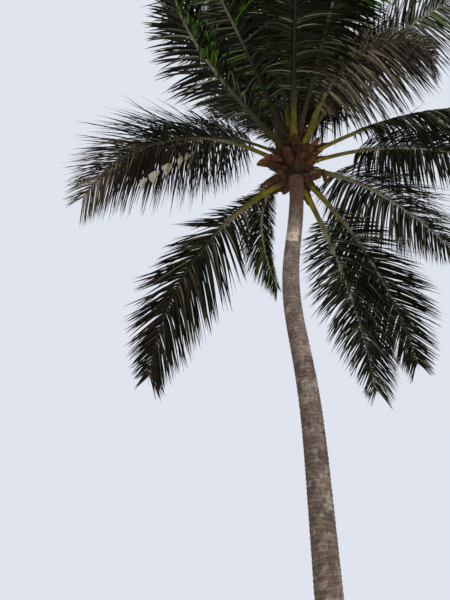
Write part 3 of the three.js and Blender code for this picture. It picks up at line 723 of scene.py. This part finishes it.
# painted shade: how far the stalks in the crown's shade are darkened; the rest are darkened by youngShare, as
# the inner fronds stand deeper in the crown's shade
shadedStalks = {9: 0.8, 10: 0.35, 12: 0.8, 13: 0.9, 14: 0.1, 15: 0.35, 20: 0.8, 21: 0.35}
# painted shade: how dark the ribs of some fronds are painted along the blade where they lie in shade, and the
# share where that starts
shadedRibs = {1: (0.8, 0.52), 2: (0.95, 0.22), 3: (0.8, 0.52), 5: (0.8, 0.26), 7: (0.8, 0.26), 10: (0.97, 0.05)}
# how much of a stalk's painted shade is lost between two shares of the frond, and how soon a rib's painted
# shade is full
stalkShade = {"lost": 0.6, "between": (0.3, 0.5), "darkWithin": 0.2}
youngFronds = (10, 18)


def youngShare(frond):
    # 0 for the outer fronds and 1 for the innermost, whose stalks are thin
    return float(smooth(*youngFronds, frond["number"]))


def ribShape(frond, stations):
    # a rounded keel below, a hollow on top of the stalk that turns into a ridge along the blade
    places, alongs, sides, aboves = stations
    last = len(places) - 1
    picks = np.unique(np.round(last * np.linspace(0, 1, rib["sections"]) ** rib["crowding"]).astype(int))
    mark = picks * rib["step"]
    young = youngShare(frond)
    stout = stoutStalks.get(frond["number"], rib["stout"]) - 1
    stout = 1 + stout * (1 - smooth(*rib["stoutEnds"], mark)) - rib["youngSlim"] * young
    width = ribHalf(rib["halfWidth"], mark, frond["length"]) * stout
    thick = ribHalf(rib["halfThickness"], mark, frond["length"]) * stout
    clasp = np.exp(-((mark / rib["claspLength"]) ** 2))
    width, thick = width + rib["clasp"] * clasp, thick + rib["claspDepth"] * clasp
    turn = roundTurn(rib["sides"])
    ridge = smooth(*rib["ridge"], mark)[:, None]
    up, across = np.cos(turn)[None, :], np.sin(turn)[None, :]
    hollow = (1 - ridge) * rib["hollow"] * np.clip(up, 0, 1) ** 3
    top = np.where(up > 0, up * (rib["topHeight"] + rib["ridgeHeight"] * ridge) - hollow, 0)
    low = np.where(up <= 0, -np.abs(up) ** rib["keelPower"], 0)
    lift = (top + low) * thick[:, None]
    reach = across * width[:, None] * (1 - rib["ridgeNarrow"] * ridge * np.clip(up, 0, 1))
    ring = sweep(places[picks], sides[picks], aboves[picks], np.stack([reach, lift], -1))
    point = places[-1] + alongs[-1] * rib["point"] * rib["pointShare"] - np.array([0, 0, rib["pointDrop"]])
    share = np.append(np.repeat(mark / frond["length"], rib["sides"]), [0, 1])
    margin = np.abs(across) * (1 - smooth(*rib["margin"], mark))[:, None]
    side = np.append(margin.ravel(), [0, 0])
    return closedTube(ring, (share, side), [places[0], point])


def bunches(count):
    # leaflets hang together in bunches of up to three
    sizes = random.integers(1, 4, count)
    owner = np.repeat(np.arange(count), sizes)[:count]
    middle = np.array([np.mean(np.flatnonzero(owner == o)) for o in owner])
    return owner, np.arange(count) - middle


# how often a leaflet takes a colour of its own and not its spray's, on the dry fronds and the rest
ownColour = {"dryFronds": (5, 7), "dry": 0.8, "green": 0.25}


def dealtColours(frond, side, x, owner):
    deal = frondDeals.get((frond["number"], side), frondDeals.get(frond["number"], plainDeal))
    change = ownColour["dry" if frond["number"] in ownColour["dryFronds"] else "green"]
    picked, spray = [], {}
    for share, group in zip(x, owner):
        chances = next(c for upTo, c in deal if share <= upTo)
        names = list(chances)
        odds = np.array([chances[n] for n in names])
        if group not in spray or random.random() < change:
            spray[group] = names[random.choice(len(names), p=odds / odds.sum())]
        picked.append(spray[group])
    return np.array(picked)


def leafletShapes(frond, stations, side):
    places, alongs, sides, aboves = stations
    n = leaflet["perSide"]
    first = firstLeaflets.get(frond["number"], leaflet["first"])
    x = (np.arange(n) + 0.5 + random.uniform(-leaflet["jitter"], leaflet["jitter"], n)) / n
    blade = frond["length"] - rib["point"] - rib["petiole"]
    mark = first + x * (frond["length"] * leaflet["lastShare"] - first)
    young = np.clip((mark - first) / max(rib["petiole"] - first, 0.1), 0, 1)
    at = np.minimum(np.round(mark / rib["step"]).astype(int), len(places) - 1)
    beyond = np.maximum(mark - (len(places) - 1) * rib["step"], 0)
    xs = np.clip((mark - rib["petiole"]) / blade, 0, 1)
    span = np.sin(np.pi * xs ** leaflet["fullest"])
    owner, offset = bunches(n)
    length = leaflet["length"] * frond["length"] * between((leaflet["shortest"], 1), span)
    length = length * sideValue(frond, "reach", side) * (1 - sideValue(frond, "taper", side) * xs)
    length = length * between((leaflet["firstShare"], 1), young)
    length = length * (1 + leaflet["lengthSpread"] * (random.random(n) - leaflet["longest"]))
    spacing = blade / n
    bunchTurn = random.normal(0, leaflet["bunchSpread"], n)[owner]
    forward = between(leaflet["forward"], xs) + sideValue(frond, "spread", side) * (1 - xs)
    forward = forward + np.degrees(offset * spacing * leaflet["converge"] / length)
    forward = np.radians(forward + bunchTurn + random.normal(0, leaflet["angleSpread"], n))
    lift = sideValue(frond, "lift", side) + random.normal(0, leaflet["liftSpread"], n)
    lift = np.radians(lift + random.normal(0, leaflet["bunchLift"], n)[owner])
    start = (np.cos(forward)[:, None] * alongs[at]
             + side * (np.sin(forward) * np.cos(lift))[:, None] * sides[at]
             + (np.sin(forward) * np.sin(lift))[:, None] * aboves[at])
    hang = sideValue(frond, "hang", side) * between((leaflet["stiffEnds"], 1), span)
    hang = hang * np.exp(random.normal(0, leaflet["hangSpread"], n))
    hang = hang * np.exp(random.normal(0, leaflet["bunchHang"], n)[owner])
    root = places[at] + alongs[at] * beyond[:, None]
    out = ribHalf(rib["halfWidth"], mark, frond["length"]) * leaflet["rootOut"]
    up = ribHalf(rib["halfThickness"], mark, frond["length"]) * leaflet["rootUp"]
    root = root + side * sides[at] * out[:, None] + aboves[at] * up[:, None]
    outline = np.array(leafletOutline)
    steps = leaflet["segments"]
    twist = side * np.radians(leaflet["twist"] + random.normal(0, leaflet["twistSpread"], n))
    narrow = between((leaflet["narrowEnds"], 1), span) * leafletWidths.get(frond["number"], 1)
    centre, rings, down = root, [], np.array([0, 0, -1.0])

    def droopAt(t):
        # stiff at first, then bending faster, to the same mean as the source's rule
        return t ** leaflet["stiffness"] * (1 + leaflet["stiffness"]) / 2

    for k in range(steps + 1):
        t = k / steps
        heading = unit(start + down * (hang * droopAt(t))[:, None])
        if k:
            middle = unit(start + down * (hang * droopAt(t - 0.5 / steps))[:, None])
            centre = centre + middle * (length / steps)[:, None]
        broad = unit(alongs[at] - heading * np.sum(alongs[at] * heading, -1)[:, None])
        flat = np.cross(heading, broad) * side
        turn = (twist * (leaflet["twistFrom"] + leaflet["twistGain"] * t))[:, None]
        broad, flat = broad * np.cos(turn) + flat * np.sin(turn), flat * np.cos(turn) - broad * np.sin(turn)
        half = (np.interp(t, *outline.T) * leaflet["halfWidth"] * narrow)[:, None]
        ridge = centre + flat * half * leaflet["fold"]
        under = ridge - flat * (leaflet["thickness"] * (1 - leaflet["thinning"] * t))
        edges = [centre + broad * half, centre - broad * half]
        rings += [edges[0], ridge, edges[1], under] if side > 0 else [edges[0], under, edges[1], ridge]
    # painted highlight: a share of the leaflets get a higher tone, which the leaf material paints pale along
    # their ridges
    pale = paintedGlareShares.get(frond["number"], leaflet["pale"])
    tone = random.normal(*leaflet["tone"], n) + (random.random(n) < pale) * leaflet["paintedGlareTone"]
    tone = np.clip(tone, 0, 1)
    return np.stack(rings, 1), dealtColours(frond, side, xs, owner), tone


def leafletFaces():
    rings = leaflet["segments"] + 1
    quads, _ = tubeFaces(rings, 4, capped=False)
    ends = [[3, 2, 1, 0], [4 * rings - 4, 4 * rings - 3, 4 * rings - 2, 4 * rings - 1]]
    return np.concatenate([quads, ends])


ribParts = {key: [] for key in ("vertices", "quads", "triangles", "alongShare", "sideShare", "shadeShare")}
leafletSets = {name: [] for name in leafColours}
ribCount = 0
for frond in fronds:
    stations = ribStations(frond)
    vertices, quads, triangles, (share, side) = ribShape(frond, stations)
    # painted shade on the stalks and ribs, kept as shadeShare
    shade = shadedStalks.get(frond["number"], youngShare(frond))
    shade = shade * (1 - stalkShade["lost"] * smooth(*stalkShade["between"], share))
    amount, start = shadedRibs.get(frond["number"], (0, 0))
    paintedRibShade = amount * smooth(start, start + stalkShade["darkWithin"], share)
    made = (vertices, quads + ribCount, triangles + ribCount, share, side, np.maximum(shade, paintedRibShade))
    for parts, values in zip(ribParts.values(), made):
        parts.append(values)
    ribCount += len(vertices)
    for hand in (-1, 1):
        shapes, colours, tones = leafletShapes(frond, stations, hand)
        for name in leafletSets:
            leafletSets[name].append((shapes[colours == name], tones[colours == name]))
print("fronds grown")

frondNodes = sorted(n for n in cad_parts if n.startswith("frond_"))
ribs = {key: np.concatenate(parts) for key, parts in ribParts.items()}
ribMesh = meshOf("ribs", ribs.pop("vertices"), ribs.pop("quads"), ribs.pop("triangles"), ribs)
addPiece("frond_ribs", ribMesh, stalkSkin, frondNodes, sharp=0)
# a colour with many leaflets makes two pieces, of the lower and of the upper fronds
leafletTiers = {"limit": 3700, "lowerFronds": 13}
for name, parts in leafletSets.items():
    count = sum(len(shapes) for shapes, _ in parts)
    if not count:
        continue  # no leaflet is straw: that colour is for the scraps
    tiers = {"": parts}
    if count > leafletTiers["limit"]:
        cut = 2 * leafletTiers["lowerFronds"]
        tiers = {"_lower": parts[:cut], "_upper": parts[cut:]}
    for tier, chosen in tiers.items():
        blades = np.concatenate([shapes for shapes, _ in chosen])
        tones = np.repeat(np.concatenate([values for _, values in chosen]), blades.shape[1])
        ridges = np.tile([0.0, 1.0], len(tones) // 2)
        offsets = np.arange(len(blades))[:, None, None] * blades.shape[1]
        faces = (leafletFaces()[None] + offsets).reshape(-1, 4)
        mesh = meshOf(name + tier, blades.reshape(-1, 3), faces, (), {"tone": tones, "ridgeShare": ridges})
        addPiece("leaflets_" + name + tier, mesh, leafMaterials[name])

# Pale dead scraps caught among the leaflets of the dry left frond: how far along the blade,
# how far down the leaflet, length and width.
scrapRows = ((0.354, 0.22, 0.40, 0.034), (0.395, 0.25, 0.46, 0.046), (0.472, 0.33, 0.42, 0.095),
             (0.548, 0.39, 0.46, 0.092), (0.612, 0.46, 0.38, 0.066))
scrap = {"frond": 5, "rows": 9, "columns": 13, "thickness": 0.004, "curl": 0.5, "nearer": 0.06,
         "tear": 0.6, "lean": 0.08, "stripes": (0.08, 0.5), "endTone": 0.3}


def scrapShape(x, share, length, width):
    frond = fronds[scrap["frond"] - 1]
    places, alongs, sides, _ = ribStations(frond)
    at = round((rib["petiole"] + x * (frond["length"] - rib["point"] - rib["petiole"])) / rib["step"])
    out = unit(np.array([0, -1.0, -2.2]) * share + sides[at] * 0.8)
    foot = places[at] + out * share * leaflet["length"] * frond["length"] * 1.05
    across = unit(alongs[at] * [1, 1, 0.3])
    face = np.cross(across, [0, 0, -1.0])
    foot = foot + np.array([0, -1.0, -0.4]) * scrap["nearer"]
    t = np.linspace(0, 1, scrap["rows"])[:, None]
    s = np.linspace(-1, 1, scrap["columns"])[None]
    half = width * (0.12 + 1.1 * np.sin(np.pi * t ** 0.62 * 0.97))
    # the hem hangs in torn waves
    waves = np.abs(np.sin(4.2 * s + 9 * x)) * 0.7 + 0.3 * np.abs(np.sin(11 * s + 5 * x))
    hem = 1 - scrap["tear"] * waves * t
    middle = foot + np.array([0, 0, -1.0]) * (t * length * hem)[..., None] + across * (s * half)[..., None]
    middle = middle - np.array([1.0, 0, 0]) * scrap["lean"] * (t * length * hem)[..., None]
    bend = scrap["curl"] * (s * half) ** 2 / width + 0.02 * np.sin(5 * t + 3 * s)
    front = middle + face * bend[..., None]
    back = front - face * scrap["thickness"]
    stripe = random.uniform(*scrap["stripes"], scrap["columns"])
    tone = np.append(np.tile(np.append(stripe, stripe[::-1]), scrap["rows"]), [scrap["endTone"]] * 2)
    return closedTube(np.concatenate([front, back[:, ::-1]], 1), tone)


def joined(shapes):
    # (vertices, quads, triangles, tone) of several shapes as one
    points, fours, threes, tones, count = [], [], [], [], 0
    for vertices, quads, triangles, tone in shapes:
        points.append(vertices)
        fours.append(np.asarray(quads, int).reshape(-1, 4) + count)
        threes.append(np.asarray(triangles, int).reshape(-1, 3) + count)
        tones.append(np.broadcast_to(tone, len(vertices)))
        count += len(vertices)
    values = {"tone": np.concatenate(tones)}
    return np.concatenate(points), np.concatenate(fours), np.concatenate(threes), values


def stalkPath(azimuth, rise, curl, length, base, steps):
    # a path that leaves the column as the source's sheaths do
    place = rootOf(azimuth, base)
    rows = []
    for i in range(steps + 1):
        axes = frameOf(azimuth, rise + curl * i / steps, 0)
        rows.append((place, *axes))
        place = place + axes[0] * length / steps
    return [np.array(column) for column in zip(*rows)]


# Broken stubs of old leaves round the column, from the oldest up. Pairs are from and to, and clear
# is the angle and the height that they keep from a frond's foot.
stubs = {"count": 34, "base": (0.03, 0.80), "turn": 137.5, "length": (0.20, 0.38),
         "halfWidth": (0.105, 0.060), "halfThickness": (0.036, 0.020), "rise": (2, 66), "curl": (10, 34),
         "sides": 14, "steps": 9, "ragged": 0.03, "clear": (26, 0.13), "turnSpread": 9, "riseSpread": 7,
         "wear": 0.10, "sunk": 0.02, "tone": 0.55}


def stubShape(index):
    share = index / (stubs["count"] - 1)
    base = between(stubs["base"], share)
    azimuth = stubs["turn"] * index + random.uniform(-stubs["turnSpread"], stubs["turnSpread"])
    for frond in fronds:
        off = (azimuth - frond["azimuth"] + 180) % 360 - 180
        if abs(off) < stubs["clear"][0] and abs(base - frond["base"]) < stubs["clear"][1]:
            azimuth += math.copysign(stubs["clear"][0] - abs(off), off)
            break
    rise = between(stubs["rise"], share) + random.uniform(-stubs["riseSpread"], stubs["riseSpread"])
    length, curl = random.uniform(*stubs["length"]), random.uniform(*stubs["curl"])
    places, _, sides, aboves = stalkPath(azimuth, rise, curl, length, base, stubs["steps"])
    t = np.linspace(0, 1, stubs["steps"] + 1)[:, None]
    width, thick = between(stubs["halfWidth"], t ** 0.7), between(stubs["halfThickness"], t)
    turn = roundTurn(stubs["sides"])
    up, across = np.cos(turn)[None], np.sin(turn)[None]
    # hollow above between raised margins, and rounded below
    lift = np.where(up > 0, 0.35 * up - 0.5 * up ** 3, -np.abs(up) ** 0.85) + 0.55 * across ** 2
    wear = 1 + stubs["wear"] * np.sin(9 * turn[None] + 14 * t + index)
    ring = sweep(places, sides, aboves, np.stack([across * width * wear, lift * thick * wear], -1))
    along = unit(places[-1] - places[-2])
    # the broken end is ragged
    ring[-1] += along * random.uniform(-1, 1, stubs["sides"])[:, None] * stubs["ragged"]
    ends = [places[0], places[-1] - along * stubs["sunk"]]
    return closedTube(ring, random.uniform(0, stubs["tone"]) ** 1.5, ends)


# Fibrous webs: what is left of each leaf's sheath, from the stalk's margins round the column.
webs = {"from": 0.03, "to": 0.50, "rows": 30, "columns": 8, "wrap": 34, "fall": 0.10, "tuck": 0.35,
        "thickness": 0.004, "ragged": 0.55, "tear": 0.30, "torn": 0.45, "ripple": 0.012, "sag": 0.03,
        "rootShare": 0.8, "tone": 0.5}


def webShape(frond, stations, side):
    places, _, sides, _ = stations
    marks = np.linspace(webs["from"], webs["to"] * random.uniform(0.7, 1.1), webs["rows"])
    picks = np.round(marks / rib["step"]).astype(int)
    t = np.linspace(0, 1, webs["columns"])
    # a web grows narrow up its stalk, with a ragged and partly torn edge
    fade = np.clip(1 - (marks - webs["from"]) / (marks[-1] - webs["from"]), 0.02, 1) ** 0.6
    wander = np.interp(np.arange(webs["rows"]), np.arange(0, webs["rows"], 3), random.random(10))
    torn = np.where(random.random(webs["rows"]) < webs["tear"], webs["torn"], 1.0)
    wrap = webs["wrap"] * fade * (1 - webs["ragged"] * wander) * torn * random.uniform(0.7, 1.2)
    half = ribHalf(rib["halfWidth"], marks, frond["length"]) * webs["rootShare"]
    edge = places[picks] + side * sides[picks] * half[:, None]
    radial = edge[:, :2] - [crownX, 0]
    out = np.linalg.norm(radial, axis=1)[:, None]
    turn = np.arctan2(radial[:, 1], radial[:, 0])[:, None] - side * np.radians(wrap[:, None] * t)
    out = out * (1 - webs["tuck"] * t ** 1.3 * fade[:, None])
    out = out + webs["ripple"] * np.sin(11 * t + 88 * marks[:, None])
    height = edge[:, 2:] - webs["fall"] * t ** 1.4 * fade[:, None] - webs["sag"] * wander[:, None] * t
    top = np.stack([crownX + out * np.cos(turn), out * np.sin(turn), height + 0 * t], -1)
    low = top - np.array([0, 0, webs["thickness"]])
    ring = np.concatenate([top, low[:, ::-1]], 1)
    if side < 0:
        ring = ring[:, ::-1]
    return closedTube(ring, random.uniform(0, webs["tone"]) ** 1.4)


scrapMesh = meshOf("scraps", *joined([scrapShape(*row) for row in scrapRows]))
addPiece("dry_scraps", scrapMesh, leafMaterials["straw"], sharp=40)

columnMesh = columnSkin()
addPiece("leaf_base_column_skin", columnMesh.copy(), fibre, ["leaf_base_column"], sharp=0)
stubMesh = meshOf("stubs", *joined([stubShape(i) for i in range(stubs["count"])]))
addPiece("old_leaf_stubs", stubMesh, fibre, sharp=40)
webMesh = meshOf("webs", *joined([webShape(f, ribStations(f), side) for f in fronds for side in (-1, 1)]))
strandMesh = grownMesh(columnMesh, strandTree(fibre), strands)
webStrands = grownMesh(webMesh.copy(), strandTree(fibre), sheathStrands)
fibrous = {"leaf_sheath_webs": webMesh, "leaf_base_fibres": strandMesh, "leaf_sheath_fibres": webStrands}
for name, mesh in fibrous.items():
    addPiece(name, mesh, fibre, sharp=0)

# Boat-shaped dry flower sheaths: azimuth, rise, length, half width, base, curl and tone.
sheathRows = {
    "dry_sheath_left": (196, -4, 0.56, 0.118, 0.330, -30, 0.75),
    "dry_sheath_upper": (-31, 42, 0.54, 0.074, 0.330, 18, 0.95),
    "dry_sheath_left_lower": (166, -14, 0.52, 0.060, 0.165, -20, 0.25),
}
boat = {"steps": 26, "sides": 20, "depth": 0.55, "hollow": 0.42, "rim": 0.25, "ribs": 7, "ribDepth": 0.05,
        "tip": (0.93, 1.0), "tipNarrow": 0.9}


def boatShape(azimuth, rise, length, halfWidth, base, curl, tone):
    places, _, sides, aboves = stalkPath(azimuth, rise, curl, length, base, boat["steps"])
    t = np.linspace(0, 1, boat["steps"] + 1)[:, None]
    swell = 0.22 + 0.9 * np.sin(np.pi * np.clip(0.10 + 0.88 * t, 0, 1)) ** 0.9
    half = halfWidth * swell * (1 - smooth(*boat["tip"], t) * boat["tipNarrow"])
    turn = roundTurn(boat["sides"])
    up, across = np.cos(turn)[None], np.sin(turn)[None]
    grain = 1 + boat["ribDepth"] * np.sin(boat["ribs"] * turn[None] + 3 * t)
    hollow = boat["hollow"] * np.clip(up, 0, 1) * np.sin(np.pi * t)
    lift = np.where(up > 0, boat["rim"] - hollow, -np.abs(up) * boat["depth"] + boat["rim"])
    section = np.stack([across * half * grain, lift * half * grain], -1)
    return closedTube(sweep(places, sides, aboves, section), tone)


for name, row in sheathRows.items():
    addPiece(name + "_skin", meshOf(name, *joined([boatShape(*row)])), husk, [name], sharp=30)

# Old fruit stalks: a bent stalk with strings that each held flowers, and a few small dead nuts.
# Rows: azimuth, base, length and the seed of the strings.
fruitRows = {"fruit_stalk_right": (-24, 0.170, 0.42, 5), "fruit_stalk_left": (-160, 0.120, 0.33, 9)}
fruitLook = {"rise": 10, "fall": 62, "stalk": 0.017, "strings": 22, "stringLength": (0.12, 0.28),
             "string": 0.0035, "stringSteps": 7, "stringSides": 4, "sag": 0.4, "wander": 0.004,
             "nut": (0.045, 0.065), "nuts": 6, "nutRows": 10, "nutSides": 14, "nutFatness": 0.78,
             "steps": 16, "sides": 8, "stringsFrom": 6, "stalkTone": 0.1, "nutTone": 0.3}


def roundSection(radii, sides):
    turn = -roundTurn(sides)
    return np.asarray(radii)[:, None, None] * np.stack([np.cos(turn), np.sin(turn)], -1)[None]


def roundPath(places, radii, sides, tone):
    # a closed round stalk along a path
    heading = unit(np.gradient(places, axis=0))
    side = unit(np.cross(heading, [0.0, 0.0, 1.0]) + 1e-6)
    return closedTube(sweep(places, side, np.cross(side, heading), roundSection(radii, sides)), tone)


def nutShape(centre, axis, size, tone):
    t = np.linspace(0.02, 0.98, fruitLook["nutRows"])
    places = centre + axis * ((t - 0.5) * size * 2)[:, None]
    radii = size * fruitLook["nutFatness"] * np.sin(np.pi * t) ** 0.62 * (1 - 0.12 * t)
    return roundPath(places, radii, fruitLook["nutSides"], tone)


def fruitShapes(azimuth, base, length, seed):
    out = frameOf(azimuth, fruitLook["rise"], 0)[0] * length / 2
    down = frameOf(azimuth, -fruitLook["fall"], 0)[0] * length / 2
    t = np.linspace(0, 1, fruitLook["steps"])[:, None]
    places = rootOf(azimuth, base) + 2 * t * (1 - t) * out + t * t * (out + down)
    radii = fruitLook["stalk"] * (1 - 0.5 * t[:, 0])
    shapes = [roundPath(places, radii, fruitLook["sides"], fruitLook["stalkTone"])]
    luck = np.random.default_rng(seed)
    s = np.linspace(0, 1, fruitLook["stringSteps"])[:, None]
    radii = (1 - 0.5 * s[:, 0]) * fruitLook["string"]
    for i in range(fruitLook["strings"]):
        at = places[int(luck.integers(fruitLook["stringsFrom"], fruitLook["steps"]))]
        heading = unit(np.array([luck.normal(), luck.normal(), -0.7]) + 0.8 * unit(down))
        reach = luck.uniform(*fruitLook["stringLength"])
        path = at + heading * s * reach - np.array([0, 0, fruitLook["sag"]]) * s * s * reach
        path = path + luck.normal(0, fruitLook["wander"], path.shape) * s
        shapes.append(roundPath(path, radii, fruitLook["stringSides"], 0.0))
        if i < fruitLook["nuts"]:
            size = luck.uniform(*fruitLook["nut"])
            axis, tone = unit(heading + [0, 0, -0.6]), luck.uniform(0, fruitLook["nutTone"])
            shapes.append(nutShape(path[-1] + heading * size, axis, size, tone))
    return shapes


for name, row in fruitRows.items():
    addPiece(name + "_skin", meshOf(name, *joined(fruitShapes(*row))), husk, [name], sharp=35)

# Spear leaf: the youngest leaf, still folded, so it is ridged along its length.
spear = {"length": 2.30, "radius": (0.036, 0.005), "lean": 0.05, "ridges": 9, "ridgeDepth": 0.14,
         "rows": 60, "sides": 36}


def spearShape():
    t = np.linspace(0, 1, spear["rows"])
    rise = t * spear["length"]
    bend = spear["lean"] * rise * t
    foot = crownFoot + column["profile"][-1][0] + seatGap
    places = np.stack([crownX + bend, -bend, foot + rise], -1)
    radii = between(spear["radius"], t)
    turn = roundTurn(spear["sides"])
    fold = 1 - spear["ridgeDepth"] * np.abs(np.sin(spear["ridges"] / 2 * turn[None] + 3 * t[:, None]))
    section = np.stack([np.cos(turn), np.sin(turn)], -1)[None] * (radii[:, None] * fold)[..., None]
    sides, aboves = np.tile([1.0, 0, 0], (len(t), 1)), np.tile([0, 1.0, 0], (len(t), 1))
    return closedTube(sweep(places, sides, aboves, section), 0.0)


spearMesh = meshOf("spear", *joined([spearShape()]))
addPiece("spear_leaf_skin", spearMesh, leafMaterials["freshGreen"], ["spear_leaf"], sharp=25)
print("heart of the crown dressed")
